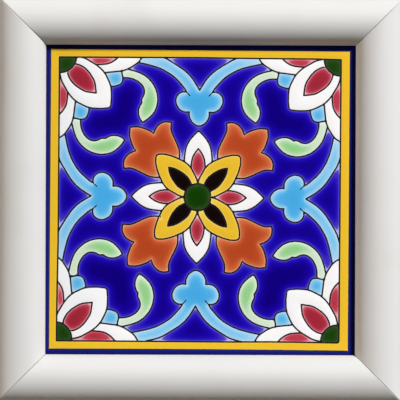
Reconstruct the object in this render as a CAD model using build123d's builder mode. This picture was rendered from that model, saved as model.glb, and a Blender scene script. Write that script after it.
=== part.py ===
"""Decorative glazed ceramic tile, seated face up in a white mitred picture frame.

The framed tile lies on its back. X runs to the right and Y to the top of the picture,
Z points out of the glazed face, and the origin is the centre of the frame's back.
All lengths are in millimetres.
"""

import os

from build123d import *

# Tile: a square pressed slab with a glazed face and a waffle of keying pockets behind
TILE_SIDE = 200.0
TILE_THICKNESS = 8.0
TILE_CORNER_RADIUS = 1.0
GLAZED_EDGE_RADIUS = 1.0
BACK_EDGE_BEVEL = 0.8

# Keying pockets in the tile's back
POCKETS_ACROSS = 5
POCKET_RIB = 5.0
POCKET_MARGIN = 10.0
POCKET_DEPTH = 0.8
POCKET_CORNER_RADIUS = 3.0
POCKET_DRAFT_DEG = 30.0

# Seat of the tile in the frame
LIP_OVERLAP = 4.0
REBATE_CLEARANCE = 0.5
TILE_RECESS = 1.0

# Frame moulding: an upright sight edge and a round crown over a square back.
# The crown's highest line is set back from the outer side: it rises to it from the sight edge
# and falls from it to the outside.
RAIL_WIDTH = 30.0
SIGHT_EDGE_HEIGHT = 2.0
CROWN_SETBACK = 16.0
CROWN_RISE = 10.0
CROWN_FALL = 13.0
SHOULDER_RADIUS = 0.8
MITRE_HAIRLINE = 0.2

# Heights and half widths that follow from the sizes above
lip_under = TILE_RECESS + TILE_THICKNESS
inner_spring = lip_under + SIGHT_EDGE_HEIGHT
crown_height = inner_spring + CROWN_RISE
outer_spring = crown_height - CROWN_FALL
sight_half = TILE_SIDE / 2 - LIP_OVERLAP
rebate_half = TILE_SIDE / 2 + REBATE_CLEARANCE
outer_half = sight_half + RAIL_WIDTH
pocket_side = (TILE_SIDE - 2 * POCKET_MARGIN - (POCKETS_ACROSS - 1) * POCKET_RIB) / POCKETS_ACROSS
pocket_pitch = pocket_side + POCKET_RIB

# Quarter turns that carry the right-hand rail to each side of the frame
RAIL_TURNS = {"right": 0, "top": 90, "left": 180, "bottom": 270}

os.makedirs("parts", exist_ok=True)


# The tile
back_plane = Plane.XY.offset(TILE_RECESS)
with BuildPart() as tile:
    with BuildSketch(back_plane):
        RectangleRounded(TILE_SIDE, TILE_SIDE, TILE_CORNER_RADIUS)
    extrude(amount=TILE_THICKNESS)
    glazed_face = tile.faces().sort_by(Axis.Z)[-1]
    back_face = tile.faces().sort_by(Axis.Z)[0]
    fillet(glazed_face.edges(), GLAZED_EDGE_RADIUS)
    chamfer(back_face.edges(), BACK_EDGE_BEVEL)
    with BuildSketch(back_plane):
        with GridLocations(pocket_pitch, pocket_pitch, POCKETS_ACROSS, POCKETS_ACROSS):
            RectangleRounded(pocket_side, pocket_side, POCKET_CORNER_RADIUS)
    extrude(amount=POCKET_DEPTH, taper=POCKET_DRAFT_DEG, mode=Mode.SUBTRACT)
tile.part.label = "tile"
export_step(tile.part, "parts/tile.step")


def section_plane(turn):
    """Section through a rail: its x axis points away from the tile's centre, its y axis up."""
    outward = Vector(1, 0, 0).rotate(Axis.Z, turn)
    return Plane(origin=(0, 0, 0), x_dir=outward, z_dir=outward.cross(Vector(0, 0, 1)))


# The four frame rails
for side, turn in RAIL_TURNS.items():
    section = section_plane(turn)
    with BuildPart() as rail:
        with BuildSketch(section) as moulding:
            with BuildLine():
                sight_edge = Line((sight_half, lip_under), (sight_half, inner_spring))
                crown_top = (outer_half - CROWN_SETBACK, crown_height)
                TangentArc(crown_top, sight_edge @ 1, tangent=(-1, 0))
                outer_slope = TangentArc(crown_top, (outer_half, outer_spring), tangent=(1, 0))
                outer_side = Line(outer_slope @ 1, (outer_half, 0))
                Polyline(outer_side @ 1, (rebate_half, 0), (rebate_half, lip_under), sight_edge @ 0)
            make_face()
            # The shoulders are where the crown meets the sight edge and the outer side
            corners = moulding.vertices()
            shoulders = [corners.sort_by_distance(spring)[0] for spring in (sight_edge @ 1, outer_side @ 0)]
            fillet(shoulders, SHOULDER_RADIUS)
        extrude(amount=outer_half, both=True)
        for hand in (1, -1):
            mitre = Plane(origin=(0, 0, 0), z_dir=section.x_dir - section.z_dir * hand)
            split(bisect_by=mitre.offset(MITRE_HAIRLINE / 2), keep=Keep.TOP)
    rail.part.label = f"frame_rail_{side}"
    export_step(rail.part, f"parts/{rail.part.label}.step")
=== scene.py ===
"""Framed decorative tile: coloured glazes between sunk dark cords, in a white mitred frame.

The tile's face is planned flat, in millimetres: the ornament's outlines are drawn once, repeated
about its centre, laid over each other and cut into fields of glaze. Each field's glaze stands as a
film that is thin beside a cord and deep in the middle, which gives both its relief and its colour.
"""

import logging
import math
from collections.abc import Iterable, Sequence
from dataclasses import dataclass, field
from enum import Enum

import bpy
import numpy as np
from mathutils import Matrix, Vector
from mathutils.geometry import delaunay_2d_cdt


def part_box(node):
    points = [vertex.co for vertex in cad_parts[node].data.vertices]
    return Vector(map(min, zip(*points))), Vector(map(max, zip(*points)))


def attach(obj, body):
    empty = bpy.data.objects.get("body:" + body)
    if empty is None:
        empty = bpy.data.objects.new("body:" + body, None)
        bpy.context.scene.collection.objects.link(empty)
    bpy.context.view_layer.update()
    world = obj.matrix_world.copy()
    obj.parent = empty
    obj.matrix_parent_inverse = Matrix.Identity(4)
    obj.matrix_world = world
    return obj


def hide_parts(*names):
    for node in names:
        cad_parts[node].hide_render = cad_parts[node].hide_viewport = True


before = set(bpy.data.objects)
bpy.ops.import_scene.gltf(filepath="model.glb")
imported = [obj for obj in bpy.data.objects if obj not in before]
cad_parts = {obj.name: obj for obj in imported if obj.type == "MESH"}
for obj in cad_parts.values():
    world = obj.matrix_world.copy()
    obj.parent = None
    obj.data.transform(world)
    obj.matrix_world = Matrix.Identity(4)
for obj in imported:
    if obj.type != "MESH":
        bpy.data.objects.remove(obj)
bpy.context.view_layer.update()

MM = 0.001
BODY = "root"
BAKE_MAP = "OFBake"
FILM = "film"
# Points that are nearer than this, in millimetres, are one; the cut of the face is finer
SAME_PLACE = 1e-3
CUT_TOLERANCE = 1e-5
# The film's solver: how often it goes round at most, and what is left to do when it stops
SOLVER_ROUNDS = 400
SOLVER_REST = 1e-14
TINY_AREA = 1e-9
# Room round the tile in the frame's rebate, in millimetres
REBATE_CLEARANCE = 0.5

log = logging.getLogger("framed_tile")

Point = tuple[float, float]
Point3 = tuple[float, float, float]
Stroke = tuple[Point, ...]
Rgb = tuple[int, int, int]
Edges = list[tuple[int, int]]
# An outline's points, which of its steps show, and half the width of its cord
Chain = tuple[np.ndarray, np.ndarray, float]


class Glaze(Enum):
    """The tile's glazes; a value is the place of its material on the tile."""

    CORD = 0
    COBALT = 1
    NAVY = 2
    YELLOW = 3
    ORANGE = 4
    RED = 5
    LEAF = 6
    SKY = 7
    BOTTLE = 8
    WHITE = 9
    BLACK = 10
    CRIMSON = 11
    AMBER = 12
    AZURE = 13
    BISCUIT = 14


class Mirror(Enum):
    """How the drawn half of an outline makes the whole."""

    NONE = "none"
    AXIS = "axis"
    DIAGONAL = "diagonal"


class Repeat(Enum):
    """How often an outline comes in the ornament: quarter turns, and mirrored copies or not."""

    ONCE = (1, False)
    TURNED = (4, False)
    TURNED_AND_MIRRORED = (4, True)


class Group(Enum):
    """The groups of outlines that were laid on the tile together."""

    FLOWER = "flower"
    TULIP = "tulip"
    CORNER = "corner"
    LEAF = "leaf"
    TREFOIL = "trefoil"


def linear(rgb: Rgb) -> tuple[float, float, float, float]:
    """Turns a display colour into the linear colour that a shader reads.

    Args:
        rgb: red, green and blue from 0 to 255.

    Returns:
        Linear red, green, blue and an alpha of 1.
    """
    parts = []
    for level in rgb:
        share = level / 255
        parts.append(share / 12.92 if share <= 0.04045 else ((share + 0.055) / 1.055) ** 2.4)
    return (*parts, 1.0)


class Sock:
    """An output socket that Python arithmetic can read: each operator adds its Math node."""

    def __init__(self, graph: "Graph", socket: bpy.types.NodeSocket) -> None:
        """Keeps the socket and the graph that it is in."""
        self.graph = graph
        self.socket = socket

    def __add__(self, other: "Sock | float") -> "Sock":
        """self + other"""
        return self.graph.math("ADD", self, other)

    def __radd__(self, other: float) -> "Sock":
        """other + self"""
        return self.graph.math("ADD", other, self)

    def __sub__(self, other: "Sock | float") -> "Sock":
        """self - other"""
        return self.graph.math("SUBTRACT", self, other)

    def __rsub__(self, other: float) -> "Sock":
        """other - self"""
        return self.graph.math("SUBTRACT", other, self)

    def __mul__(self, other: "Sock | float") -> "Sock":
        """self * other"""
        return self.graph.math("MULTIPLY", self, other)

    def __rmul__(self, other: float) -> "Sock":
        """other * self"""
        return self.graph.math("MULTIPLY", other, self)

    def __gt__(self, other: "Sock | float") -> "Sock":
        """1 where self is over other, or else 0"""
        return self.graph.math("GREATER_THAN", self, other)

    def ramped(self, low: float, high: float) -> "Sock":
        """Eases self from 0 at low to 1 at high."""
        values = {"Value": self, "From Min": low, "From Max": high}
        return self.graph.node("ShaderNodeMapRange", {"interpolation_type": "SMOOTHSTEP"}, values)


class Graph:
    """A node tree, of a material, the world or Geometry Nodes, that is built by expressions."""

    def __init__(self, tree: bpy.types.NodeTree) -> None:
        """Keeps the tree that nodes are added to."""
        self.tree = tree

    def node(
        self, kind: str, settings: dict | None = None, inputs: dict | None = None, output: str | int = 0
    ) -> Sock:
        """Adds one node.

        Args:
            kind: the node's type.
            settings: its properties, set first; stops are a ramp's places and display colours.
            inputs: a value or a link for each named or numbered input.
            output: the output that is handed back.

        Returns:
            That output.
        """
        made = self.tree.nodes.new(kind)
        for key, value in (settings or {}).items():
            if key == "stops":
                self._set_stops(made.color_ramp, value)
            else:
                setattr(made, key, value)
        for key, value in (inputs or {}).items():
            self.feed(made.inputs[key], value)
        return Sock(self, made.outputs[output])

    def feed(self, socket: bpy.types.NodeSocket, value: object) -> None:
        """Links an output to an input, or sets the input's own value.

        Args:
            socket: the input.
            value: the output or the value.
        """
        if isinstance(value, Sock):
            self.tree.links.new(value.socket, socket)
        else:
            socket.default_value = value

    def math(self, operation: str, *terms: Sock | float) -> Sock:
        """Adds a Math node on the terms."""
        return self.node("ShaderNodeMath", {"operation": operation}, dict(enumerate(terms)))

    def mix(self, first: Sock | Rgb, second: Sock | Rgb, share: Sock) -> Sock:
        """Mixes two colours, outputs or display colours; where share is 0 the first one shows."""
        ends = [side if isinstance(side, Sock) else linear(side) for side in (first, second)]
        return self.node("ShaderNodeMix", {"data_type": "RGBA"}, {0: share, 6: ends[0], 7: ends[1]}, 2)

    def noise(self, place: Sock, scale: float, detail: float = 2.0) -> Sock:
        """Noise from 0 to 1 with that many waves to the metre."""
        return self.node("ShaderNodeTexNoise", None, {"Vector": place, "Scale": scale, "Detail": detail})

    def vector(self, **parts: Sock) -> Sock:
        """A vector from its named parts, X, Y and Z."""
        return self.node("ShaderNodeCombineXYZ", None, parts)

    @staticmethod
    def _set_stops(ramp: bpy.types.ColorRamp, stops: Sequence[tuple[float, Rgb]]) -> None:
        """Gives a ramp its places and display colours.

        Args:
            ramp: the ramp.
            stops: its places from 0 to 1 and their colours.
        """
        while len(ramp.elements) < len(stops):
            ramp.elements.new(1.0)
        for element, (place, rgb) in zip(ramp.elements, stops):
            element.position = place
            element.color = linear(rgb)


@dataclass(frozen=True)
class Specks:
    """Dots that are strewn in patches.

    Args:
        cells: cells to the metre, each with room for one dot.
        dot: a dot's radius in cells where it starts to fade, and where it ends.
        patches: waves to the metre of the noise that chooses the patches.
        level: that noise's level where a patch starts, and where it is full.
    """

    cells: float
    dot: tuple[float, float]
    patches: float
    level: tuple[float, float]


class Finish:
    """A material with one Principled shader, built as a graph on Object coordinates."""

    def __init__(self, name: str) -> None:
        """Makes the material and its shader.

        Args:
            name: the material's name.
        """
        self.material = bpy.data.materials.new(name)
        self.material.use_nodes = True
        tree = self.material.node_tree
        self.graph = Graph(tree)
        self.shader = tree.nodes["Principled BSDF"]
        self.place = self.graph.node("ShaderNodeTexCoord", None, None, "Object")

    def set(self, **values: object) -> "Finish":
        """Sets or links the shader's inputs.

        Args:
            values: a value or a link for each input, by its name with underscores for spaces.

        Returns:
            This finish.
        """
        for key, value in values.items():
            self.graph.feed(self.shader.inputs[key.replace("_", " ")], value)
        return self

    def strewn(self, specks: Specks) -> Sock:
        """Strews specks over the surface.

        Args:
            specks: how large they are and where they lie.

        Returns:
            Their mask, 1 on a dot.
        """
        cells = {"Vector": self.place, "Scale": specks.cells, "Randomness": 1.0}
        dots = self.graph.node("ShaderNodeTexVoronoi", None, cells, "Distance")
        patches = self.graph.noise(self.place, specks.patches, 1.0)
        return (1.0 - dots.ramped(*specks.dot)) * patches.ramped(*specks.level)

    def bump(self, height: Sock, depth: float) -> "Finish":
        """Roughens the surface by a height from 0 to 1 that is depth metres deep."""
        dents = {"Height": height, "Distance": depth, "Strength": 1.0}
        return self.set(Normal=self.graph.node("ShaderNodeBump", None, dents))


@dataclass(frozen=True)
class GlazeFinish:
    """A glossy glaze whose colour goes from thin, beside the cords, to deep.

    Args:
        glaze: which glaze it is.
        stops: film depths from 0 to 1 and the display colour at each.
        clouding: how unevenly the film stands, as a share of its depth.
        clouds: waves to the metre of that unevenness.
        streaks: the same for the finer one inside it.
        strength: how strongly dark specks show.
        speck_colour: their display colour.
        specks: how they lie.
        roughness: the shader's roughness, from the smoothest place to the roughest.
        ripples: waves to the metre of the ripples in the surface.
        ripple_depth: how deep they are, in metres.
    """

    glaze: Glaze
    stops: tuple[tuple[float, Rgb], ...]
    clouding: float = 0.20
    clouds: float = 190.0
    streaks: float = 900.0
    strength: float = 0.25
    speck_colour: Rgb = (30, 26, 30)
    specks: Specks = Specks(260.0, (0.04, 0.09), 75.0, (0.60, 0.68))
    roughness: tuple[float, float] = (0.10, 0.16)
    ripples: float = 420.0
    ripple_depth: float = 0.00002

    def material(self) -> bpy.types.Material:
        """Builds the glaze's material.

        Returns:
            The material.
        """
        made = Finish(f"glaze_{self.glaze.name.lower()}")
        graph = made.graph
        film = graph.node("ShaderNodeAttribute", {"attribute_name": FILM}, None, "Fac")
        cloud = graph.noise(made.place, self.clouds, 4.0)
        streak = graph.noise(made.place, self.streaks, 3.0)
        uneven = (cloud - 0.5) + (streak - 0.5) * 0.5
        depth = film * (1.0 + uneven * self.clouding)
        colour = graph.node("ShaderNodeValToRGB", {"stops": self.stops}, {"Fac": depth})
        speck = made.strewn(self.specks) * self.strength
        made.set(Base_Color=graph.mix(colour, self.speck_colour, speck))
        least, most = self.roughness
        made.set(Roughness=least + cloud * (most - least), IOR=1.5, Specular_IOR_Level=0.4)
        made.bump(graph.noise(made.place, self.ripples) + cloud * 1.5, self.ripple_depth)
        return made.material


GLAZES = (
    GlazeFinish(Glaze.COBALT, (
        (0.0, (186, 186, 242)), (0.03, (164, 161, 237)), (0.048, (110, 102, 216)), (0.06, (94, 86, 210)),
        (0.1, (80, 69, 204)), (0.16, (63, 50, 196)), (0.24, (47, 31, 190)), (0.37, (31, 12, 181)),
        (0.48, (28, 9, 168)), (0.62, (24, 4, 157)), (0.85, (17, 0, 127)))),
    GlazeFinish(Glaze.NAVY, (
        (0.0, (46, 52, 126)), (0.25, (24, 28, 108)), (0.8, (14, 16, 94)))),
    GlazeFinish(Glaze.YELLOW, (
        (0.0, (248, 224, 120)), (0.06, (243, 213, 100)), (0.12, (239, 204, 78)), (0.2, (235, 193, 56)),
        (0.3, (235, 189, 48)), (0.45, (236, 193, 51)))),
    GlazeFinish(Glaze.ORANGE, (
        (0.0, (240, 184, 150)), (0.06, (234, 168, 130)), (0.12, (224, 140, 97)), (0.22, (211, 114, 71)),
        (0.35, (203, 99, 57)), (0.47, (196, 89, 48)), (0.63, (186, 76, 38)), (0.8, (181, 70, 33)))),
    GlazeFinish(Glaze.RED, (
        (0.0, (238, 190, 200)), (0.055, (232, 170, 180)), (0.13, (205, 100, 118)), (0.22, (186, 64, 82)),
        (0.38, (168, 44, 62)), (0.53, (159, 41, 59)))),
    GlazeFinish(Glaze.LEAF, (
        (0.0, (230, 241, 230)), (0.055, (226, 239, 226)), (0.145, (216, 234, 214)), (0.24, (197, 227, 193)),
        (0.35, (170, 218, 163)), (0.48, (150, 211, 142)))),
    GlazeFinish(Glaze.SKY, (
        (0.0, (190, 223, 245)), (0.1, (180, 218, 245)), (0.2, (157, 209, 244)), (0.33, (130, 200, 241)),
        (0.45, (101, 187, 238)), (0.6, (80, 177, 235)), (0.8, (72, 171, 231)))),
    GlazeFinish(Glaze.BOTTLE, (
        (0.0, (52, 84, 42)), (0.06, (50, 80, 38)), (0.2, (36, 70, 23)), (0.39, (24, 64, 10)),
        (0.62, (18, 60, 4))), strength=0.6),
    GlazeFinish(Glaze.WHITE, (
        (0.0, (242, 241, 243)), (0.15, (248, 248, 250)), (1.0, (250, 250, 251))), strength=0.15),
    GlazeFinish(Glaze.BLACK, (
        (0.0, (24, 12, 14)), (0.5, (17, 7, 6)), (1.0, (15, 6, 5))), strength=0.0),
    GlazeFinish(Glaze.CRIMSON, (
        (0.0, (232, 170, 180)), (0.04, (222, 130, 146)), (0.08, (206, 90, 107)), (0.12, (194, 66, 84)),
        (0.25, (176, 48, 66)))),
    GlazeFinish(Glaze.AMBER, (
        (0.0, (241, 207, 88)), (0.06, (238, 197, 62)), (0.14, (236, 190, 47)), (0.35, (237, 191, 46)))),
    GlazeFinish(Glaze.AZURE, (
        (0.0, (184, 221, 245)), (0.1, (165, 212, 243)), (0.17, (140, 201, 240)), (0.26, (111, 191, 239)),
        (0.35, (91, 182, 235)), (0.5, (84, 178, 233)))),
)


@dataclass(frozen=True)
class CordFinish:
    """The matt dark line that keeps two glazes apart.

    Args:
        colour: its display colour.
        worn: the colour where it is worn.
        grains: waves to the metre of its grain.
        patches: the same for its worn patches.
        relief: how deep the grain is, in metres.
    """

    colour: Rgb = (14, 9, 13)
    worn: Rgb = (38, 30, 34)
    grains: float = 1600.0
    patches: float = 120.0
    relief: float = 0.00004

    def material(self) -> bpy.types.Material:
        """Builds the cord's material.

        Returns:
            The material.
        """
        made = Finish("dry_cord")
        grain = made.graph.noise(made.place, self.grains, 3.0)
        wear = made.graph.noise(made.place, self.patches, 3.0).ramped(0.5, 0.75)
        made.set(Base_Color=made.graph.mix(self.colour, self.worn, wear * grain))
        made.set(Roughness=0.55 + grain * 0.25, Specular_IOR_Level=0.25)
        made.bump(grain, self.relief)
        return made.material


@dataclass(frozen=True)
class BiscuitFinish:
    """The bare fired clay of the tile's sides and back.

    Args:
        pale: its display colour.
        warm: the colour of its warmer clouds.
        fleck: the colour of its flecks.
        flecks: how the flecks lie.
        clouds: waves to the metre of the clouds.
        grains: the same for its grain.
        relief: how deep the grain is, in metres.
    """

    pale: Rgb = (226, 214, 196)
    warm: Rgb = (206, 182, 154)
    fleck: Rgb = (150, 122, 96)
    flecks: Specks = Specks(420.0, (0.08, 0.16), 160.0, (0.52, 0.62))
    clouds: float = 28.0
    grains: float = 1500.0
    relief: float = 0.00012

    def material(self) -> bpy.types.Material:
        """Builds the clay's material.

        Returns:
            The material.
        """
        made = Finish("bare_clay")
        graph = made.graph
        cloud = graph.noise(made.place, self.clouds, 4.0)
        grain = graph.noise(made.place, self.grains, 3.0)
        clay = graph.mix(self.pale, self.warm, cloud.ramped(0.35, 0.70))
        made.set(Base_Color=graph.mix(clay, self.fleck, made.strewn(self.flecks) * 0.7))
        made.set(Roughness=0.78 + grain * 0.15, Specular_IOR_Level=0.3)
        made.bump(grain + cloud * 0.8, self.relief)
        return made.material


@dataclass(frozen=True)
class LacquerFinish:
    """White satin lacquer over wood, brushed along the rail.

    Args:
        name: the material's name.
        along: waves of the brush marks to the metre on each axis, few along the rail.
        white: its display colour.
        soiled: the colour where it is soiled.
        mark: the colour of its small marks.
        marks: how those marks lie.
        clouds: waves to the metre of the soiling.
        grains: the same for the finest grain.
        relief: how deep the brush marks are, in metres.
    """

    name: str
    along: Point3
    white: Rgb = (216, 216, 215)
    soiled: Rgb = (208, 205, 201)
    mark: Rgb = (150, 138, 124)
    marks: Specks = Specks(70.0, (0.02, 0.07), 31.0, (0.62, 0.68))
    clouds: float = 22.0
    grains: float = 900.0
    relief: float = 0.00002

    def material(self) -> bpy.types.Material:
        """Builds the lacquer's material.

        Returns:
            The material.
        """
        made = Finish(self.name)
        graph = made.graph
        stretched = graph.node("ShaderNodeMapping", None, {"Vector": made.place, "Scale": self.along})
        brush = graph.noise(stretched, 1.0, 4.0)
        cloud = graph.noise(made.place, self.clouds, 4.0)
        body = graph.mix(self.white, self.soiled, cloud.ramped(0.50, 0.85) * 0.5 + brush * 0.15)
        made.set(Base_Color=graph.mix(body, self.mark, made.strewn(self.marks) * 0.5))
        made.set(Roughness=0.54 + brush * 0.10 + cloud * 0.08, IOR=1.45)
        made.bump(brush + graph.noise(made.place, self.grains) * 0.3, self.relief)
        return made.material


class NodeTool:
    """A Geometry Nodes tree with named inputs that runs on a mesh and hands back a plain mesh."""

    SOCKETS = {
        float: "NodeSocketFloat",
        int: "NodeSocketInt",
        bool: "NodeSocketBool",
        tuple: "NodeSocketVector",
        bpy.types.Object: "NodeSocketObject",
        bpy.types.Material: "NodeSocketMaterial",
    }

    def __init__(self, name: str, **inputs: type) -> None:
        """Makes the tree, with its inputs and with Geometry going in and out.

        Args:
            name: the tree's name.
            inputs: the kind of each named input.
        """
        self.tree = bpy.data.node_groups.new(name, "GeometryNodeTree")
        self.tree.interface.new_socket("Geometry", in_out="INPUT", socket_type="NodeSocketGeometry")
        for label, kind in inputs.items():
            self.tree.interface.new_socket(label, in_out="INPUT", socket_type=self.SOCKETS[kind])
        self.tree.interface.new_socket("Geometry", in_out="OUTPUT", socket_type="NodeSocketGeometry")
        self.graph = Graph(self.tree)
        self._given = self.tree.nodes.new("NodeGroupInput")

    def given(self, label: str) -> Sock:
        """The tree's input of that name."""
        return Sock(self.graph, self._given.outputs[label])

    def shape(self, label: str) -> Sock:
        """The geometry of the object that is given by that name."""
        return self.graph.node("GeometryNodeObjectInfo", None, {"Object": self.given(label)}, "Geometry")

    def end(self, geometry: Sock, finish: Sock | None = None) -> None:
        """Closes the tree: what it made is realized, given its material and handed out.

        Args:
            geometry: what the tree made.
            finish: the material, where it is a piece and not a drawing aid.
        """
        solid = self.graph.node("GeometryNodeRealizeInstances", None, {"Geometry": geometry})
        if finish is not None:
            solid = self.graph.node("GeometryNodeSetMaterial", None, {"Geometry": solid, "Material": finish})
        out = self.tree.nodes.new("NodeGroupOutput")
        self.graph.feed(out.inputs["Geometry"], solid)

    def run(self, mesh: bpy.types.Mesh, **values: object) -> bpy.types.Mesh:
        """Runs the tree.

        Args:
            mesh: what goes in as Geometry.
            values: one value for each named input.

        Returns:
            A plain mesh of what comes out.
        """
        host = bpy.data.objects.new(f"{self.tree.name}_host", mesh)
        bpy.context.scene.collection.objects.link(host)
        modifier = host.modifiers.new(self.tree.name, "NODES")
        modifier.node_group = self.tree
        for item in self.tree.interface.items_tree:
            if item.in_out == "INPUT" and item.name in values:
                modifier[item.identifier] = values[item.name]
        bpy.context.view_layer.update()
        seen = bpy.context.evaluated_depsgraph_get()
        made = bpy.data.meshes.new_from_object(
            host.evaluated_get(seen), preserve_all_data_layers=True, depsgraph=seen
        )
        host.modifiers.remove(modifier)
        bpy.data.objects.remove(host)
        return made


def places(mesh: bpy.types.Mesh) -> np.ndarray:
    """Reads where a mesh's vertices lie.

    Args:
        mesh: the mesh.

    Returns:
        Rows of x, y and z.
    """
    flat = np.empty(len(mesh.vertices) * 3, np.float32)
    mesh.vertices.foreach_get("co", flat)
    return flat.reshape(-1, 3).astype(float)


def wire(name: str, points: np.ndarray, edges: Iterable[tuple[int, int]] = ()) -> bpy.types.Mesh:
    """A mesh of bare points, and edges if there are any, in the plane z = 0.

    Args:
        name: the mesh's name.
        points: rows of x and y.
        edges: pairs of points.

    Returns:
        The mesh.
    """
    mesh = bpy.data.meshes.new(name)
    mesh.from_pydata([(x, y, 0.0) for x, y in points], list(edges), [])
    return mesh


def shown(name: str, data: bpy.types.Mesh | bpy.types.Curve) -> bpy.types.Object:
    """Puts a mesh or a curve in the scene, at the origin.

    Args:
        name: the object's name.
        data: its mesh or curve.

    Returns:
        The object.
    """
    made = bpy.data.objects.new(name, data)
    bpy.context.scene.collection.objects.link(made)
    return made


def rotated(vector: np.ndarray, angle: float) -> np.ndarray:
    """A flat vector, turned counterclockwise."""
    c, s = math.cos(angle), math.sin(angle)
    return np.array([c * vector[0] - s * vector[1], s * vector[0] + c * vector[1]])


def four_sides(side: Sequence[Point]) -> np.ndarray:
    """A ring from the points of its lower side, which is turned to the other three.

    Args:
        side: the points, left to right, without the last corner.

    Returns:
        Rows of x and y, counterclockwise.
    """
    turned = [np.array(side)]
    for _ in range(3):
        turned.append(np.column_stack([-turned[-1][:, 1], turned[-1][:, 0]]))
    return np.vstack(turned)


def at_height(points: np.ndarray, z: float) -> np.ndarray:
    """Flat points as rows of x, y and z."""
    return np.column_stack([points, np.full(len(points), z)])


@dataclass(frozen=True)
class Motif:
    """One outline of the ornament, in millimetres from its centre.

    The outline is drawn in strokes that are smooth inside and may turn sharply where they meet.
    A mirrored outline is drawn from one end of its own axis to the other, and may be round there.
    A motif of bare cord is an open stroke.

    Args:
        group: what it was laid on the tile with.
        glaze: what fills it.
        strokes: the drawn outline.
        mirror: the axis that it is mirrored on.
        repeat: how often it comes.
        round_start: whether it is smooth where it starts on its axis.
        round_end: whether it is smooth where it ends on its axis.
    """

    group: Group
    glaze: Glaze
    strokes: tuple[Stroke, ...]
    mirror: Mirror = Mirror.NONE
    repeat: Repeat = Repeat.TURNED
    round_start: bool = False
    round_end: bool = False

    def whole(self) -> list[Stroke]:
        """Takes the outline all the way round.

        Returns:
            The drawn strokes, and their mirrored copies if there are any.
        """
        if self.mirror is Mirror.NONE:
            return list(self.strokes)
        half = list(self.strokes)
        other = [tuple(self._across(point) for point in reversed(stroke)) for stroke in reversed(half)]
        if self.round_end:
            half[-1] = half[-1] + other.pop(0)[1:]
        if self.round_start and other:
            half[0] = other.pop()[:-1] + half[0]
        return half + other

    def _across(self, point: Point) -> Point:
        """A point mirrored on the outline's axis."""
        x, y = point
        return (-x, y) if self.mirror is Mirror.AXIS else (y, x)


def ring(centre: Point, radius: float, knots: int = 12) -> tuple[Stroke, ...]:
    """A circle as one closed stroke."""
    turns = [2 * math.pi * step / knots for step in range(knots + 1)]
    return (tuple((centre[0] + radius * math.cos(t), centre[1] + radius * math.sin(t)) for t in turns),)


FLOWER_DISC_RADIUS = 8.3
CORNER_DISC_CENTRE = (87.2, 87.2)
CORNER_DISC_RADIUS = 10.15

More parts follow.
